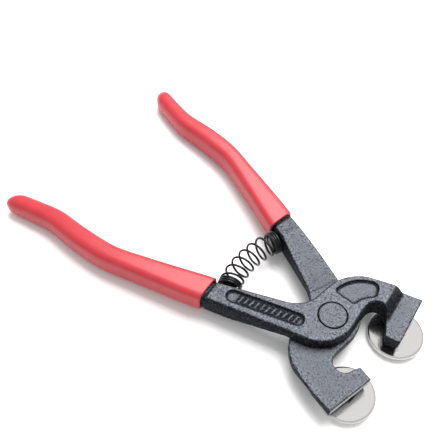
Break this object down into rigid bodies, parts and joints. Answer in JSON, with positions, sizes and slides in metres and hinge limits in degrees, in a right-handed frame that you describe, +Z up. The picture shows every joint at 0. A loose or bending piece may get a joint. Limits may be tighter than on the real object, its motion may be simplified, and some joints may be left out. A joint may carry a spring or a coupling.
{
  "type": "mosaic glass nippers",
  "caption": "Forged mosaic glass nippers with round cutter wheels under offset jaws, a coil return spring and dipped vinyl grips.",
  "frame": {"origin": "middle of the footprint, on the surface that the tool lies on, with the jaws open on the spring", "axes": "+X from the grips towards the jaws, +Y across the tool towards the upper lever's jaw, +Z up along the pivot's axis"},
  "size_m": [0.1796, 0.1028, 0.0172],
  "materials": {
    "enamel": "black stoved enamel over forged steel, satin gloss with an orange-peel texture",
    "dipped_vinyl": "red dip-moulded vinyl, soft gloss",
    "spring_wire": "black oxide spring steel wire, oiled",
    "wheel_steel": "polished tool steel cutter wheels, mirror faces with fine turning marks at the rim",
    "screw_steel": "black oxide socket screws, satin"
  },
  "bodies": {
    "upper": {"upper_lever": "enamel", "pivot_rivet": "enamel", "grip_upper": "dipped_vinyl", "spring_peg_upper": "spring_wire", "wheel_screw_upper": "screw_steel", "return_spring": "spring_wire"},
    "lower": {"lower_lever": "enamel", "grip_lower": "dipped_vinyl", "spring_peg_lower": "spring_wire", "wheel_screw_lower": "screw_steel"},
    "wheel_upper": {"cutter_wheel_upper": "wheel_steel"},
    "wheel_lower": {"cutter_wheel_lower": "wheel_steel"}
  },
  "joints": [
    {"name": "jaw_pivot", "type": "hinge", "parent": "upper", "child": "lower", "pos_m": [0.057, 0, 0.0112], "axis": [0, 0, 1], "range_deg": [0, 28], "stiffness_Nm_per_rad": 1.5, "deforming": ["return_spring"]},
    {"name": "wheel_turn_upper", "type": "hinge", "parent": "upper", "child": "wheel_upper", "pos_m": [0.0783, 0.0176, 0.0014], "axis": [0, 0, 1], "continuous": true},
    {"name": "wheel_turn_lower", "type": "hinge", "parent": "lower", "child": "wheel_lower", "pos_m": [0.0783, -0.0176, 0.0014], "axis": [0, 0, 1], "continuous": true}
  ]
}
